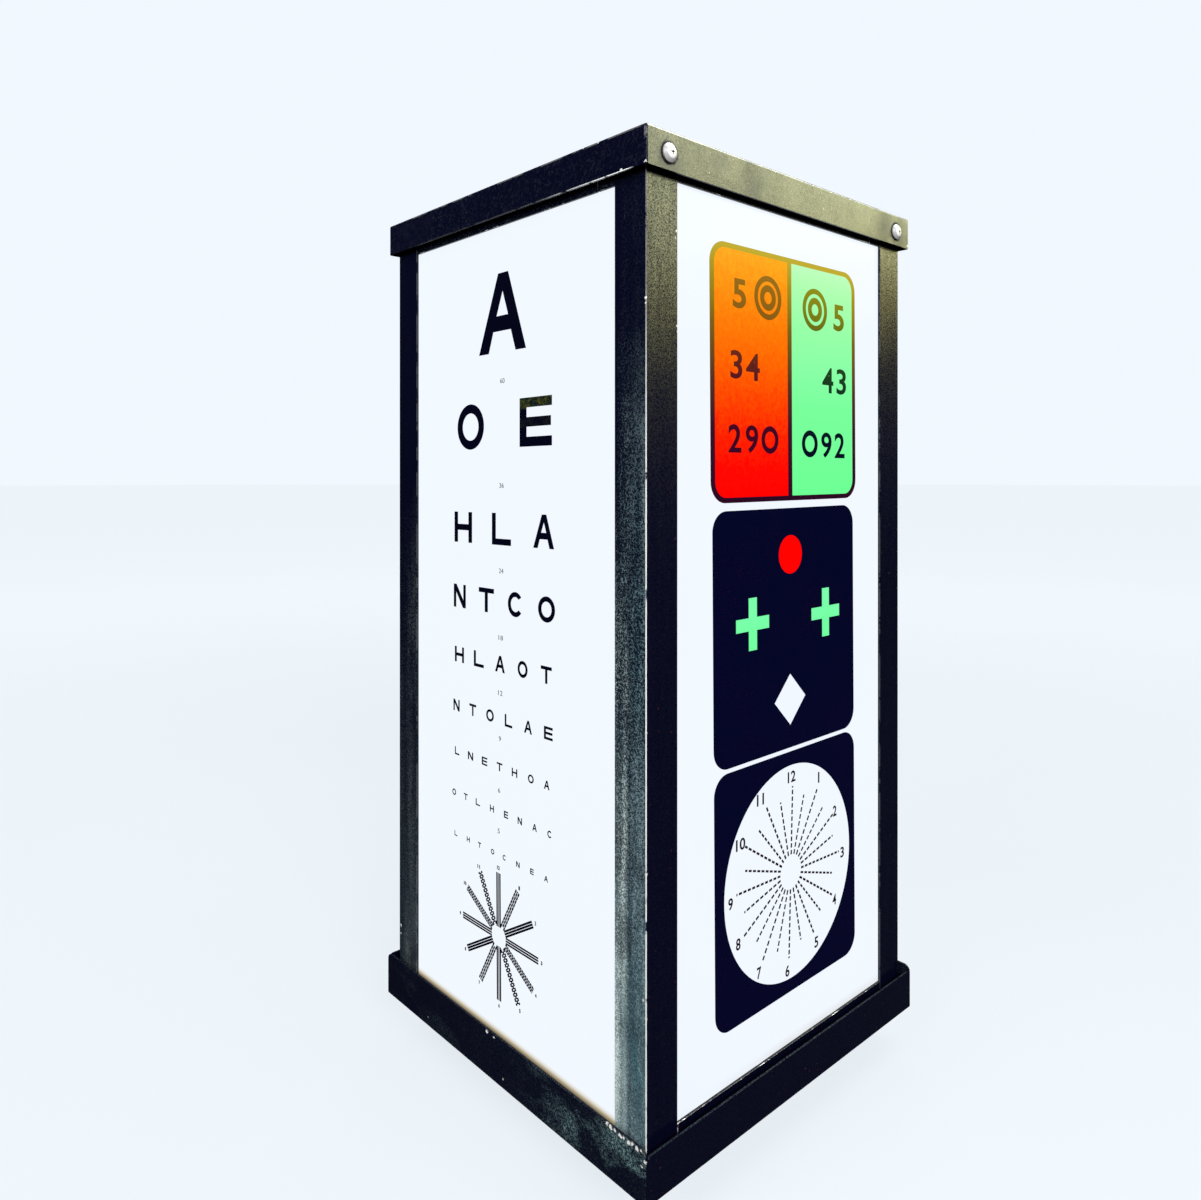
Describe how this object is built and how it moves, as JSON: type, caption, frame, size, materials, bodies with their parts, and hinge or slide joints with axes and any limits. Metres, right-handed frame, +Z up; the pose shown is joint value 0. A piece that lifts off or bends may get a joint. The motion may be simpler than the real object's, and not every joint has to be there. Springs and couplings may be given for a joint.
{
  "type": "sight test lantern",
  "caption": "Square internally lit lantern with eyesight charts on its faces, lift-off lid, and a turntable stand with fixed lamps.",
  "frame": {"origin": "centre of the underside of the stand's feet, on the turning axis", "axes": "+Z up along the turning axis; the letter chart faces -Y and the colour chart faces +X"},
  "size_m": [0.3118, 0.3064, 0.678],
  "materials": {
    "black_enamel": "glossy black stoving enamel, speckled and worn to bare steel at the edges",
    "stand_enamel": "glossy black enamel",
    "bright_steel": "nickel-plated and polished",
    "plain_steel": "turned steel",
    "zinc_steel": "zinc-plated sheet",
    "brass": "turned",
    "opal": "opal acrylic sheet, lit from behind",
    "film_black": "printed black film",
    "film_red": "transparent red film over the lit panel",
    "film_green": "transparent green film over the lit panel",
    "rubber": "moulded black",
    "white_plastic": "moulded",
    "black_plastic": "moulded",
    "lamp_glass": "phosphor-coated tube",
    "aluminium": "plain",
    "cream_enamel": "cream enamel",
    "lead_pvc": "flexible insulation",
    "lead_brown": "flexible insulation",
    "cover_steel": "black phosphate"
  },
  "bodies": {
    "stand": {"stand_pan": "stand_enamel", "stand_cover": "cover_steel", "stand_feet": "rubber", "foot_screws": "plain_steel", "spindle": "plain_steel", "spindle_screws": "plain_steel", "race_lower": "plain_steel", "bearing_balls": "bright_steel", "ball_cage": "brass", "retaining_collar": "plain_steel", "collar_screw": "plain_steel", "lamp_column": "zinc_steel", "gear_plate": "zinc_steel", "ballast": "cream_enamel", "ballast_screws": "plain_steel", "starter_sockets": "white_plastic", "starters": "white_plastic", "terminal_block": "white_plastic", "bracket_lower": "zinc_steel", "bracket_upper": "zinc_steel", "lamp_sockets": "white_plastic", "lamp_tubes": "lamp_glass", "lamp_caps": "aluminium", "lamp_leads": "lead_pvc", "supply_leads": "lead_brown", "cable_gland": "black_plastic", "gland_nut": "black_plastic", "switch_body": "zinc_steel", "switch_nut": "bright_steel"},
    "lantern": {"base_tray": "black_enamel", "post_front_left": "black_enamel", "post_front_right": "black_enamel", "post_back_right": "black_enamel", "post_back_left": "black_enamel", "sills_front_back": "black_enamel", "sills_side": "black_enamel", "heads_front_back": "black_enamel", "heads_side": "black_enamel", "panel_guides": "zinc_steel", "panel_front": "opal", "panel_right": "opal", "panel_back": "opal", "panel_left": "opal", "duochrome_mask": "film_black", "duochrome_red": "film_red", "duochrome_green": "film_green", "worth_mask": "film_black", "worth_red": "film_red", "worth_green": "film_green", "fan_mask": "film_black", "hub": "brass", "hub_screws": "plain_steel", "race_upper": "plain_steel"},
    "lid": {"lid": "black_enamel", "lid_screws": "bright_steel", "lid_spacers": "plain_steel", "lid_nuts": "plain_steel"},
    "toggle": {"toggle_lever": "bright_steel"}
  },
  "joints": [
    {"name": "lantern_turn", "type": "hinge", "parent": "stand", "child": "lantern", "pos_m": [0, 0, 0.045], "axis": [0, 0, 1], "continuous": true},
    {"name": "lid_lift", "type": "slide", "parent": "lantern", "child": "lid", "axis": [0, 0, 1], "range_m": [0, 0.06]},
    {"name": "switch_toggle", "type": "hinge", "parent": "stand", "child": "toggle", "pos_m": [-0.058, 0.10046, 0.0152], "axis": [0.866, 0.5, 0], "range_deg": [0, 24]}
  ]
}
